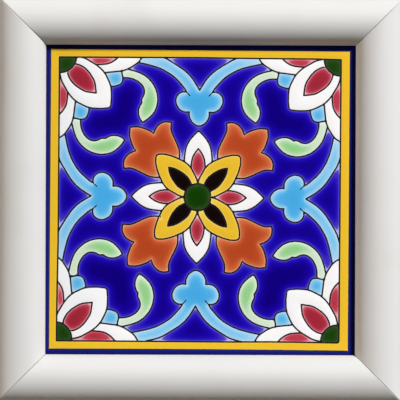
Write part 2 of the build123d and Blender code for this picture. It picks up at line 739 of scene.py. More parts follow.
# From the top layer down. Stretches that lie under a higher layer are straight.
ORNAMENT = (
    Motif(Group.FLOWER, Glaze.BOTTLE, ring((0.0, 0.0), FLOWER_DISC_RADIUS), repeat=Repeat.ONCE),
    # Yellow petals on the diagonals with their black kernels
    Motif(Group.FLOWER, Glaze.BLACK, (
        ((4.5, 4.5), (3.7, 7.2)),
        ((3.7, 7.2), (4.75, 9.6), (6.1, 11.8), (9.3, 14.65), (12.5, 16.6), (16.0, 17.9), (18.2, 18.2)),
    ), Mirror.DIAGONAL),
    Motif(Group.FLOWER, Glaze.YELLOW, (
        ((4.0, 4.0), (0.2, 8.0)),
        ((0.2, 8.0), (0.35, 10.0), (1.1, 12.05), (2.6, 14.85), (4.95, 18.8), (7.95, 21.4), (12.1, 23.55),
         (18.05, 25.7), (23.0, 26.35), (25.65, 25.65)),
    ), Mirror.DIAGONAL, round_end=True),
    # White petals on the axes with their red kernels
    Motif(Group.FLOWER, Glaze.RED, (
        ((0.0, 9.5), (4.0, 16.0)),
        ((4.0, 16.0), (4.3, 19.0), (4.1, 21.5), (3.25, 25.0), (1.6, 28.05), (0.0, 30.1)),
    ), Mirror.AXIS),
    Motif(Group.FLOWER, Glaze.WHITE, (
        ((0.0, 9.0), (8.6, 19.5)),
        ((8.6, 19.5), (8.65, 22.5), (8.4, 26.0), (7.5, 31.0), (5.6, 35.0), (2.4, 38.9), (0.0, 41.2)),
    ), Mirror.AXIS),
    # Orange tulips behind the yellow petals
    Motif(Group.TULIP, Glaze.ORANGE, (
        ((17.0, 17.0), (12.4, 22.5)),
        ((12.4, 22.5), (12.2, 25.5), (12.2, 28.0), (12.6, 30.0), (14.2, 34.0), (16.2, 38.1), (17.5, 41.5),
         (17.65, 44.0), (17.35, 46.3)),
        ((17.35, 46.3), (20.0, 46.8), (22.7, 46.4), (25.65, 44.55), (27.6, 41.7), (28.5, 39.4)),
        ((28.5, 39.4), (30.0, 40.55), (34.05, 42.3), (38.0, 43.3), (43.1, 43.1)),
    ), Mirror.DIAGONAL),
    # Corner flowers
    Motif(Group.CORNER, Glaze.BOTTLE, ring(CORNER_DISC_CENTRE, CORNER_DISC_RADIUS)),
    Motif(Group.CORNER, Glaze.RED, (
        ((64.6, 64.6), (64.9, 67.5), (65.55, 71.25), (67.6, 75.2), (70.25, 78.6), (73.7, 81.2), (77.2, 82.4),
         (80.0, 82.6)),
        ((80.0, 82.6), (84.0, 84.0)),
    ), Mirror.DIAGONAL),
    Motif(Group.CORNER, Glaze.WHITE, (
        ((88.0, 88.0), (79.0, 88.0)),
        ((79.0, 88.0), (75.7, 87.1), (72.0, 86.1), (68.05, 84.0), (63.6, 81.2), (59.65, 77.35), (57.3, 73.25),
         (55.6, 69.0), (55.05, 64.0), (55.25, 58.75), (55.95, 55.95)),
    ), Mirror.DIAGONAL, round_end=True),
    Motif(Group.CORNER, Glaze.CRIMSON, (
        ((50.0, 88.3), (53.0, 85.3), (57.0, 83.1), (61.0, 82.4), (65.5, 82.2)),
        ((65.5, 82.2), (80.0, 88.0)),
        ((80.0, 88.0), (80.0, 94.0)),
        ((80.0, 94.0), (50.0, 88.3)),
    ), repeat=Repeat.TURNED_AND_MIRRORED),
    Motif(Group.CORNER, Glaze.WHITE, (
        ((35.6, 88.6), (38.5, 84.2), (42.0, 81.6), (45.0, 79.85), (48.9, 78.55), (53.0, 78.0), (59.6, 77.25)),
        ((59.6, 77.25), (66.0, 80.0)),
        ((66.0, 80.0), (76.0, 94.0)),
        ((76.0, 94.0), (35.6, 88.6)),
    ), repeat=Repeat.TURNED_AND_MIRRORED),
    # Buds and leaves beside the corner flowers
    Motif(Group.CORNER, Glaze.AZURE, (
        ((48.9, 78.8), (48.6, 76.5), (48.1, 73.6), (48.95, 70.85), (52.0, 69.25), (56.0, 68.6)),
        ((56.0, 68.6), (60.0, 78.5)),
        ((60.0, 78.5), (48.9, 78.8)),
    ), repeat=Repeat.TURNED_AND_MIRRORED),
    Motif(Group.LEAF, Glaze.LEAF, (
        ((35.4, 46.9), (31.45, 49.8), (27.9, 54.1), (26.35, 59.0), (26.3, 63.0), (27.85, 68.5), (30.8, 72.9),
         (34.8, 76.3), (38.95, 78.2), (44.9, 79.8), (49.2, 80.6)),
        ((49.2, 80.6), (49.5, 76.5), (48.5, 74.5)),
        ((48.5, 74.5), (44.0, 74.35), (39.95, 73.05), (36.4, 70.4), (34.7, 67.2), (35.0, 63.9), (36.2, 61.3),
         (36.1, 59.0)),
        ((36.1, 59.0), (37.4, 56.85), (38.1, 53.5), (37.2, 49.45), (35.4, 46.9)),
    ), repeat=Repeat.TURNED_AND_MIRRORED),
    # Trefoils on the axes with the two stems that carry them
    Motif(Group.TREFOIL, Glaze.SKY, (
        ((0.0, 44.8), (3.1, 46.0), (5.25, 48.4), (6.3, 51.4), (6.2, 53.4)),
        ((6.2, 53.4), (9.0, 53.4), (11.9, 54.7), (14.1, 57.7), (14.65, 61.0), (13.3, 64.15), (10.8, 65.75),
         (8.1, 65.9)),
        ((8.1, 65.9), (9.5, 68.2), (11.3, 70.3), (15.2, 74.4), (20.2, 77.9), (25.1, 80.3), (30.1, 81.85),
         (36.05, 83.2), (42.0, 84.2)),
        ((42.0, 84.2), (42.0, 94.0)),
        ((42.0, 94.0), (30.0, 88.9)),
        ((30.0, 88.9), (25.0, 87.7), (21.0, 86.3), (17.3, 84.2), (13.35, 81.75), (9.2, 78.9), (5.0, 74.75),
         (1.95, 70.3), (0.0, 67.0)),
    ), Mirror.AXIS, round_start=True),
    # Short strokes where the stems' outlines run on into the trefoils
    Motif(Group.TREFOIL, Glaze.CORD, (
        ((8.1, 65.9), (6.9, 64.5), (5.8, 63.4)),
    ), Mirror.AXIS),
)

# How far the copies of a group lie off their places, counterclockwise from the upper right or the top
SLIPS = {
    Group.TULIP: ((-0.2, -0.2), (0.5, -0.3), (0.3, 0.0), (-0.2, 0.0)),
    Group.CORNER: ((0.0, 0.1), (0.3, -0.25), (-0.25, -1.0), (0.35, -0.45)),
    Group.TREFOIL: ((-0.1, 0.0), (0.5, 0.5), (-0.7, 0.0), (-0.2, 0.5)),
}
LEAF_SLIPS = (
    ((-0.3, 0.0), (0.9, 0.1), (-0.4, -0.3), (-0.2, 0.35)),
    ((0.25, -0.45), (0.55, 0.15), (-0.45, 0.0), (-0.35, 0.35)),
)


@dataclass(frozen=True)
class Field:
    """One closed outline, as it lies on the tile, and the glaze inside it."""

    glaze: Glaze
    outline: np.ndarray

    def holds(self, points: np.ndarray) -> np.ndarray:
        """Which points lie inside the outline.

        Args:
            points: rows of x and y.

        Returns:
            True or False for each row.
        """
        inside = np.zeros(len(points), bool)
        low, high = self.outline.min(0), self.outline.max(0)
        near = np.flatnonzero(((points >= low) & (points <= high)).all(1))
        if not len(near):
            return inside
        x, y = points[near].T
        crossed = np.zeros(len(near), bool)
        for (ax, ay), (bx, by) in zip(self.outline, np.roll(self.outline, -1, 0)):
            if ay != by:
                between = (ay > y) != (by > y)
                crossed ^= between & (x < (bx - ax) * (y - ay) / (by - ay) + ax)
        inside[near] = crossed
        return inside


@dataclass
class Ornament:
    """The ornament as it was laid on this tile: a little off centre and turned, as handwork is.

    Args:
        step: spacing of the points along an outline, in millimetres.
        flower_shift: where the flower's centre lies.
        flower_turn: the flower's turn in degrees.
        field_shift: where the centre of the outer ornament lies.
        field_turn: its turn in degrees.
        outer_border: corners of the border's outer cord, from the lower left.
        inner_border: the same for its inner cord, whose lower right corner is cut round.
        fields: the outlines that were laid, the top layer first.
        ticks: the open strokes that were laid.
    """

    step: float = 0.6
    flower_shift: Point = (-1.85, 1.73)
    flower_turn: float = -0.74
    field_shift: Point = (-1.50, 1.10)
    field_turn: float = -0.65
    outer_border: Stroke = (
        (-93.85, -92.6), (-44.0, -92.55), (0.0, -92.65), (43.0, -92.9), (91.75, -93.3), (92.5, 92.55),
        (20.0, 92.85), (-93.1, 93.65),
    )
    inner_border: Stroke = (
        (-89.1, -87.6), (20.0, -88.0), (43.0, -87.85), (62.0, -88.05), (85.0, -88.4), (85.75, -88.05),
        (86.1, -87.3), (86.9, 87.3), (70.0, 87.7), (20.0, 88.0), (0.0, 88.3), (-87.8, 88.4),
        (-88.25, -25.0), (-88.75, -52.0), (-89.0, -70.0),
    )
    fields: list[Field] = field(default_factory=list)
    ticks: list[np.ndarray] = field(default_factory=list)

    def lay(self) -> None:
        """Draws every outline in its place, the top layer first."""
        tool = self._repeater()
        for motif in ORNAMENT:
            middle = motif.group in (Group.FLOWER, Group.TULIP)
            shift = self.flower_shift if middle else self.field_shift
            turn = self.flower_turn if middle else self.field_turn
            turns, mirrored = motif.repeat.value
            strokes = self._drawn(motif)
            empty = bpy.data.meshes.new("outline_host")
            lines = tool.run(
                empty, Strokes=strokes, Step=self.step, Turns=turns, Mirrored=mirrored,
                Shift=(*shift, 0.0), Turn=math.radians(turn),
            )
            copies = places(lines)[:, :2].reshape(turns * (1 + mirrored), -1, 2)
            for number, outline in enumerate(copies):
                apart = np.linalg.norm(outline - np.roll(outline, -1, 0), axis=1) > SAME_PLACE
                slip = self._slip(motif.group, *divmod(number, 1 + mirrored))
                if motif.glaze is Glaze.CORD:
                    self.ticks.append(outline[apart] + slip)
                else:
                    self.fields.append(Field(motif.glaze, outline[apart] + slip))
            bpy.data.objects.remove(strokes)

    @staticmethod
    def _slip(group: Group, quarter: int, hand: int) -> Point:
        """How far one copy lies off its place.

        Args:
            group: its group.
            quarter: its quarter turns.
            hand: 1 where it is a mirrored copy, or else 0.

        Returns:
            Its shift to the right and up.
        """
        if group is Group.LEAF:
            return LEAF_SLIPS[hand][quarter]
        return SLIPS[group][(quarter + hand) % 4] if group in SLIPS else (0.0, 0.0)

    def border(self, corners: Stroke) -> np.ndarray:
        """One of the border's cords, in small steps.

        Args:
            corners: its corners in order, with straight runs between them.

        Returns:
            Its points.
        """
        knots = np.array(corners)
        points = []
        for start, end in zip(knots, np.roll(knots, -1, 0)):
            steps = max(1, round(np.linalg.norm(end - start) / self.step))
            points += [start + (end - start) * step / steps for step in range(steps)]
        return np.array(points)

    @staticmethod
    def _drawn(motif: Motif) -> bpy.types.Object:
        """Draws a motif's strokes.

        Args:
            motif: the motif.

        Returns:
            One curve object, with a spline for each stroke.
        """
        curve = bpy.data.curves.new("strokes", "CURVE")
        curve.resolution_u = 16
        for stroke in motif.whole():
            spline = curve.splines.new("BEZIER")
            spline.bezier_points.add(len(stroke) - 1)
            for knot, (x, y) in zip(spline.bezier_points, stroke):
                knot.co = (x, y, 0.0)
                knot.handle_left_type = "AUTO"
                knot.handle_right_type = "AUTO"
        return shown("strokes", curve)

    @staticmethod
    def _repeater() -> NodeTool:
        """The tree that walks strokes in even steps and repeats them about the centre.

        Returns:
            The tool that runs it.
        """
        tool = NodeTool(
            "repeat_outline", Strokes=bpy.types.Object, Step=float, Turns=int, Mirrored=bool, Shift=tuple,
            Turn=float,
        )
        graph = tool.graph
        even = {"Curve": tool.shape("Strokes"), "Length": tool.given("Step")}
        walked = graph.node("GeometryNodeResampleCurve", {"mode": "LENGTH"}, even)
        facing = {"Geometry": walked, "Scale": (-1.0, 1.0, 1.0)}
        mirrored = graph.node("GeometryNodeTransform", None, facing)
        both = graph.node("GeometryNodeJoinGeometry")
        for hand in (mirrored, walked):
            graph.feed(both.socket.node.inputs[0], hand)
        choice = {"Switch": tool.given("Mirrored"), "False": walked, "True": both}
        motif = graph.node("GeometryNodeSwitch", {"input_type": "GEOMETRY"}, choice)
        one = graph.node("GeometryNodeGeometryToInstance", None, {"Geometry": motif})
        spots = graph.node("GeometryNodePoints", None, {"Count": tool.given("Turns")})
        quarter = graph.node("GeometryNodeInputIndex") * (math.pi / 2)
        copies = {"Points": spots, "Instance": one, "Rotation": graph.vector(Z=quarter)}
        turned = graph.node("GeometryNodeInstanceOnPoints", None, copies)
        solid = graph.node("GeometryNodeRealizeInstances", None, {"Geometry": turned})
        spin = graph.vector(Z=tool.given("Turn"))
        laid = {"Geometry": solid, "Translation": tool.given("Shift"), "Rotation": spin}
        placed = graph.node("GeometryNodeTransform", None, laid)
        tool.end(graph.node("GeometryNodeCurveToMesh", None, {"Curve": placed}))
        return tool


@dataclass
class TileFace:
    """The glazed face, cut into cords and fields of glaze, in millimetres.

    Args:
        ornament: what is drawn on it.
        half: half the side of the flat face.
        sides: steps along each of its sides.
        cord: half a cord's width.
        edge: half the width of the border's outer cord.
        tick: half the width of the short strokes inside a field.
        rows: distances from a cord's middle at which rows of points follow it.
        dense_rows: how many of those rows have a point at each step of the cord, not each second one.
        spacing: how near a row's points may come to others.
        row_spacing: what each further row adds to that.
        slack: how much nearer to a cord than its row a point may lie.
        rim: how far the rows keep from the edge of the face.
        link: how many steps apart two points of a row may be joined.
        smooth: the sharpest bend of an outline that counts as smooth.
        fan_step: the angle between the directions out from a sharper bend.
        reach: how far from a cord the film grows to its depth.
        nearby: how far round a point its room is judged.
        gap_rooms: the mean film of a narrow gap, and of one that is wide enough.
        brim: the film's depth straight beside the cord of a wide field.
        mesh_step: spacing of the points in the open fields.
        points: the points of the cut face.
        triangles: its triangles, as three of their numbers each.
        glazes: what covers each triangle.
        film: how deep the glaze stands at each point.
    """

    ornament: Ornament
    half: float
    sides: int
    cord: float = 0.50
    edge: float = 0.20
    tick: float = 0.36
    rows: tuple[float, ...] = (0.50, 0.85, 1.4, 2.1)
    dense_rows: int = 2
    spacing: float = 0.3
    row_spacing: float = 0.25
    slack: float = 0.03
    rim: float = 0.5
    link: float = 1.5
    smooth: float = math.radians(25)
    fan_step: float = math.radians(30)
    reach: float = 3.2
    nearby: float = 1.2
    gap_rooms: tuple[float, float] = (0.03, 0.10)
    brim: float = 0.055
    mesh_step: float = 1.5
    points: np.ndarray = field(init=False)
    triangles: np.ndarray = field(init=False)
    glazes: np.ndarray = field(init=False)
    film: np.ndarray = field(init=False)
    _gauge: NodeTool = field(init=False)
    _lines: dict[float, bpy.types.Object] = field(init=False)

    def cut(self) -> None:
        """Cuts the face and finds each triangle's glaze and each point's film."""
        art = self.ornament
        outer = Field(Glaze.AMBER, art.border(art.outer_border))
        inner = Field(Glaze.COBALT, art.border(art.inner_border))
        self._gauge = self._measurer()
        self._triangulate(self._chains(outer, inner))
        centres = self.points[self.triangles].mean(1)
        self.glazes = np.full(len(centres), Glaze.COBALT.value)
        for piece in reversed(art.fields):
            self.glazes[piece.holds(centres)] = piece.glaze.value
        self.glazes[~inner.holds(centres)] = Glaze.AMBER.value
        self.glazes[~outer.holds(centres)] = Glaze.NAVY.value
        self.glazes[self._gap(centres, ticks=False) < self.cord] = Glaze.CORD.value
        self.film = self._poured()
        self.glazes[self._gap(centres) < self.cord] = Glaze.CORD.value
        for lines in self._lines.values():
            bpy.data.objects.remove(lines)

    def _chains(self, outer: Field, inner: Field) -> list[Chain]:
        """Finds which steps of each outline are not under a higher layer or the border.

        Args:
            outer: what the border's outer cord goes round.
            inner: what its inner cord goes round.

        Returns:
            The border's two cords, the outlines and the open strokes.
        """
        art = self.ornament
        chains = []
        for side, half in ((outer, self.edge), (inner, self.cord)):
            chains.append((side.outline, np.ones(len(side.outline), bool), half))
        for level, piece in enumerate(art.fields):
            middle = (piece.outline + np.roll(piece.outline, -1, 0)) / 2
            inside = inner.holds(piece.outline)
            seen = inside & np.roll(inside, -1)
            for above in art.fields[:level]:
                seen &= ~above.holds(middle)
            chains.append((piece.outline, seen, self.cord))
        for stroke in art.ticks:
            # The step that would close an open stroke is a long one
            steps = np.linalg.norm(np.roll(stroke, -1, 0) - stroke, axis=1)
            chains.append((stroke, steps < 2 * art.step, self.tick))
        return chains

    def _triangulate(self, chains: list[Chain]) -> None:
        """Cuts the face along the cords.

        Args:
            chains: the outlines that they follow.
        """
        kept, edges = self._cords(chains)
        side = [(-self.half + 2 * self.half * (step / self.sides), -self.half) for step in range(self.sides)]
        rim = four_sides(side)
        first = len(kept)
        edges += [(first + i, first + (i + 1) % len(rim)) for i in range(len(rim))]
        vectors = [Vector(point) for point in np.vstack([kept, rim, self._open_points()])]
        cut = delaunay_2d_cdt(vectors, edges, [], 0, CUT_TOLERANCE, False)
        self.points = np.array([tuple(v) for v in cut[0]])
        self.triangles = np.array(cut[2])

    def _cords(self, chains: list[Chain]) -> tuple[np.ndarray, Edges]:
        """Lays the middle of each cord that shows, and rows of points along both its sides.

        Args:
            chains: the outlines.

        Returns:
            The points, and the pairs of them that are joined.
        """
        line_points: list[np.ndarray] = []
        line_edges: dict[float, Edges] = {self.cord: [], self.edge: [], self.tick: []}
        side_points, side_runs = [], []
        for run, (outline, seen, half) in enumerate(chains):
            after = np.roll(outline, -1, 0) - outline
            normal = np.column_stack([-after[:, 1], after[:, 0]]) / np.linalg.norm(after, axis=1)[:, None]
            used = seen | np.roll(seen, 1)
            index = (np.cumsum(used) - 1 + sum(map(len, line_points))).tolist()
            line_points.append(outline[used])
            line_edges[half] += [(index[i], index[(i + 1) % len(outline)]) for i in np.flatnonzero(seen)]
            for row, away in enumerate(self.rows):
                for hand in (1, -1):
                    for i in np.flatnonzero(used)[:: 1 if row < self.dense_rows else 2]:
                        for direction in self._fan(normal[i - 1], normal[i]):
                            side_points.append(outline[i] + hand * (away + half - self.cord) * direction)
                            side_runs.append((run, row, hand))
        middle = np.vstack(line_points)
        self._lines = {}
        for half, pairs in line_edges.items():
            self._lines[half] = shown("cord_lines", wire("cord_lines", middle, pairs))
        edges = [pair for pairs in line_edges.values() for pair in pairs]
        return self._beside(middle, edges, np.array(side_points), side_runs)

    def _beside(
        self, middle: np.ndarray, edges: Edges, sides: np.ndarray, runs: list[tuple[int, int, int]]
    ) -> tuple[np.ndarray, Edges]:
        """Keeps the points beside the cords that have room, and joins those of the first row.

        Args:
            middle: the points in the middle of the cords.
            edges: the pairs of them that are joined.
            sides: the points beside the cords.
            runs: the outline, row and hand of each of those.

        Returns:
            All the points that are kept, and the pairs of them that are joined.
        """
        rows = np.array(runs)[:, 1]
        clear = self._gap(sides) > np.array(self.rows)[rows] - self.slack
        clear &= np.abs(sides).max(1) < self.half - self.rim
        taken = Crowd(self.spacing)
        taken.add(middle)
        kept, count = [middle], len(middle)
        last: dict[tuple[int, int, int], tuple[int, np.ndarray]] = {}
        for i in np.flatnonzero(clear)[np.argsort(rows[clear], kind="stable")]:
            spot, row = sides[i], int(rows[i])
            if row and not taken.room(spot, self.spacing + self.row_spacing * row):
                continue
            taken.add(spot[None])
            kept.append(spot[None])
            if row == 0:
                before = last.get(runs[i])
                if before and np.linalg.norm(before[1] - spot) < self.link * self.ornament.step:
                    edges.append((before[0], count))
                last[runs[i]] = (count, spot)
            count += 1
        return np.vstack(kept), edges

    def _fan(self, before: np.ndarray, after: np.ndarray) -> list[np.ndarray]:
        """Directions out from a point of an outline: one where it is smooth, several at a corner.

        Args:
            before: the direction out from the step before it.
            after: the direction out from the step after it.

        Returns:
            The directions.
        """
        turn = math.atan2(before[0] * after[1] - before[1] * after[0], float(before @ after))
        if abs(turn) < self.smooth:
            both = before + after
            return [both / np.linalg.norm(both)]
        steps = max(2, round(abs(turn) / self.fan_step))
        return [rotated(before, turn * step / steps) for step in range(steps + 1)]

    def _open_points(self) -> np.ndarray:
        """Points in the open fields, clear of the rows along the cords.

        Returns:
            Rows of x and y.
        """
        step = self.mesh_step
        end = self.half - step / 2
        grid = []
        for number, y in enumerate(np.arange(-self.half + step, end, step * math.sqrt(3) / 2)):
            start = -self.half + step * (1.0 if number % 2 else 0.5)
            grid += [(x, y) for x in np.arange(start, end, step)]
        spots = np.array(grid)
        return spots[self._gap(spots) > self.rows[-1] + step / 2]

    def _gap(self, points: np.ndarray, ticks: bool = True) -> np.ndarray:
        """Each point's distance to the middle of the nearest cord; the finer ones count as further away.

        Args:
            points: rows of x and y.
            ticks: whether the short strokes inside a field count.

        Returns:
            One distance for each row.
        """
        nearest = np.full(len(points), np.inf)
        for half, lines in self._lines.items():
            if ticks or half != self.tick:
                made = self._gauge.run(wire("asked", points), Cords=lines)
                found = np.empty(len(points), np.float32)
                made.attributes["gap"].data.foreach_get("value", found)
                bpy.data.meshes.remove(made)
                nearest = np.minimum(nearest, found + self.cord - half)
        return nearest

    @staticmethod
    def _measurer() -> NodeTool:
        """The tree that measures how far each point is from the cords.

        Returns:
            The tool that runs it.
        """
        tool = NodeTool("measure_gap", Cords=bpy.types.Object)
        graph = tool.graph
        lines = {0: tool.shape("Cords")}
        away = graph.node("GeometryNodeProximity", {"target_element": "EDGES"}, lines, "Distance")
        kind = {"data_type": "FLOAT", "domain": "POINT"}
        named = {"Geometry": tool.given("Geometry"), "Name": "gap", "Value": away}
        tool.end(graph.node("GeometryNodeStoreNamedAttribute", kind, named))
        return tool

    def _poured(self) -> np.ndarray:
        """The glaze film's depth at each point, from 0 at the cords towards 1.

        The film is a stretched skin that is held down at the cords and lifted everywhere else, so
        that it stays thin in narrow gaps. Where there is room, it stands up from the cord at once.

        Returns:
            One depth for each point.
        """
        cord = self.glazes == Glaze.CORD.value
        free = np.ones(len(self.points), bool)
        free[self.triangles[cord].ravel()] = False
        film = self._stretched(self.triangles, self.reach, np.ones(len(self.points)), free)
        glazed = np.zeros(len(self.points), bool)
        glazed[self.triangles[~cord].ravel()] = True
        room = self._stretched(self.triangles[~cord], self.nearby, film, glazed)
        least, most = self.gap_rooms
        return film + (1.0 - film) * self.brim * np.clip((room - least) / (most - least), 0.0, 1.0)

    def _stretched(
        self, triangles: np.ndarray, reach: float, aim: np.ndarray, free: np.ndarray
    ) -> np.ndarray:
        """A skin over some triangles that is drawn to an aim, solved by conjugate gradients.

        Args:
            triangles: the triangles that carry it.
            reach: how far a point makes itself felt.
            aim: what each point is drawn to.
            free: the points that may move; the others stay at 0.

        Returns:
            The skin's height at each point, from 0 to 1.
        """
        corners = self.points[triangles]
        count = len(self.points)
        first, second, weight = [], [], []
        for corner in range(3):
            a, b, c = (corners[:, (corner + turn) % 3] for turn in range(3))
            u, v = b - a, c - a
            area2 = np.abs(u[:, 0] * v[:, 1] - u[:, 1] * v[:, 0]) + TINY_AREA
            weight.append(0.5 * (u * v).sum(1) / area2)
            first.append(triangles[:, (corner + 1) % 3])
            second.append(triangles[:, (corner + 2) % 3])
        i, j, w = np.concatenate(first), np.concatenate(second), np.concatenate(weight)
        mass = np.bincount(triangles.ravel(), np.repeat(area2 / 6, 3), count) / reach**2

        def pull(skin: np.ndarray) -> np.ndarray:
            """How hard the skin pulls back at each free point."""
            strain = w * (skin[i] - skin[j])
            return (np.bincount(i, strain, count) - np.bincount(j, strain, count) + mass * skin) * free

        skin = np.zeros(count)
        rest = mass * aim * free
        way = rest.copy()
        energy = rest @ rest
        for _ in range(SOLVER_ROUNDS):
            answer = pull(way)
            share = energy / (way @ answer)
            skin += share * way
            rest = rest - share * answer
            after = rest @ rest
            if after < SOLVER_REST * count:
                break
            way = rest + after / energy * way
            energy = after
        return np.clip(skin, 0.0, 1.0)


class Crowd:
    """Points that have taken their place, to keep others from crowding them."""

    def __init__(self, cell: float) -> None:
        """Starts empty, with squares of that size to look points up by."""
        self.cell = cell
        self.squares: dict[tuple[int, int], list[np.ndarray]] = {}

    def add(self, points: np.ndarray) -> None:
        """Takes in points.

        Args:
            points: rows of x and y.
        """
        for point in points:
            square = (int(point[0] // self.cell), int(point[1] // self.cell))
            self.squares.setdefault(square, []).append(point)

    def room(self, point: np.ndarray, clear: float) -> bool:
        """Looks for room.

        Args:
            point: where there should be room.
            clear: how far round it.

        Returns:
            Whether no point lies nearer.
        """
        reach = math.ceil(clear / self.cell)
        column, row = int(point[0] // self.cell), int(point[1] // self.cell)
        for x in range(column - reach, column + reach + 1):
            for y in range(row - reach, row + reach + 1):
                for other in self.squares.get((x, y), ()):
                    if (other[0] - point[0]) ** 2 + (other[1] - point[1]) ** 2 < clear * clear:
                        return False
        return True


class Zone(Enum):
    """The parts of the tile's surface, and where each lies on its bake map: origin and scale."""

    FACE = (0.005, 0.005, 0.730)
    BACK = (0.745, 0.005, 0.250)
    SIDE_0 = (0.005, 0.750, 0.730)
    SIDE_1 = (0.005, 0.790, 0.730)
    SIDE_2 = (0.005, 0.830, 0.730)
    SIDE_3 = (0.005, 0.870, 0.730)


class Shell:
    """A closed surface that is put together from points, rings and faces."""

    def __init__(self) -> None:
        """Starts with nothing."""
        self.points: list[np.ndarray] = []
        self.films: list[np.ndarray] = []
        self.faces: list[tuple[int, ...]] = []
        self.glazes: list[int] = []
        self.zones: list[Zone] = []
        self.count = 0

    def add(self, points: np.ndarray, film: np.ndarray | float) -> np.ndarray:
        """Takes in points.

        Args:
            points: rows of x, y and z.
            film: their depth of glaze.

        Returns:
            Their numbers.
        """
        self.points.append(points)
        self.films.append(np.broadcast_to(film, len(points)))
        self.count += len(points)
        return np.arange(self.count - len(points), self.count)

    def face(self, corners: Sequence[int], glaze: int, zone: Zone) -> None:
        """Adds one face, without corners that fall together.

        Args:
            corners: the numbers of its corners.
            glaze: what covers it.
            zone: where it lies on the bake map.
        """
        kept = tuple(dict.fromkeys(int(corner) for corner in corners))
        if len(kept) > 2:
            self.faces.append(kept)
            self.glazes.append(glaze)
            self.zones.append(zone)

    def bridge(self, upper: np.ndarray, lower: np.ndarray, glaze: Glaze, zones: Sequence[Zone]) -> None:
        """Joins two rings of as many points.

        Args:
            upper: the ring that is higher, or further out on the back.
            lower: the other ring.
            glaze: what covers the faces.
            zones: the zone of each quarter of the ring.
        """
        number = len(upper)
        for i in range(number):
            after = (i + 1) % number
            zone = zones[i * len(zones) // number]
            self.face((upper[i], lower[i], lower[after], upper[after]), glaze.value, zone)

    def mesh(
        self, name: str, finishes: Sequence[bpy.types.Material], half: float, low: float
    ) -> bpy.types.Mesh:
        """Makes the mesh, in metres, with its materials, its film and its bake map.

        Args:
            name: the mesh's name.
            finishes: the materials in the order of their glazes.
            half: half the tile's side.
            low: the height of its back.

        Returns:
            The mesh.
        """
        points = np.vstack(self.points)
        mesh = bpy.data.meshes.new(name)
        mesh.from_pydata((points * MM).tolist(), [], self.faces)
        for finish in finishes:
            mesh.materials.append(finish)
        mesh.polygons.foreach_set("material_index", np.array(self.glazes, np.int32))
        films = np.concatenate(self.films).astype(np.float32)
        mesh.attributes.new(FILM, "FLOAT", "POINT").data.foreach_set("value", films)
        chart = mesh.uv_layers.new(name=BAKE_MAP)
        spots = np.empty((len(mesh.loops), 2), np.float32)
        loop = 0
        for corners, zone in zip(self.faces, self.zones):
            left, base, scale = zone.value
            x, y, z = points[list(corners)].T
            if zone in (Zone.SIDE_0, Zone.SIDE_2):
                y = z - low - half
            elif zone in (Zone.SIDE_1, Zone.SIDE_3):
                x, y = y, z - low - half
            spots[loop : loop + len(corners), 0] = left + (x + half) / (2 * half) * scale
            spots[loop : loop + len(corners), 1] = base + (y + half) / (2 * half) * scale
            loop += len(corners)
        chart.data.foreach_set("uv", spots.ravel())
        mesh.update()
        return mesh


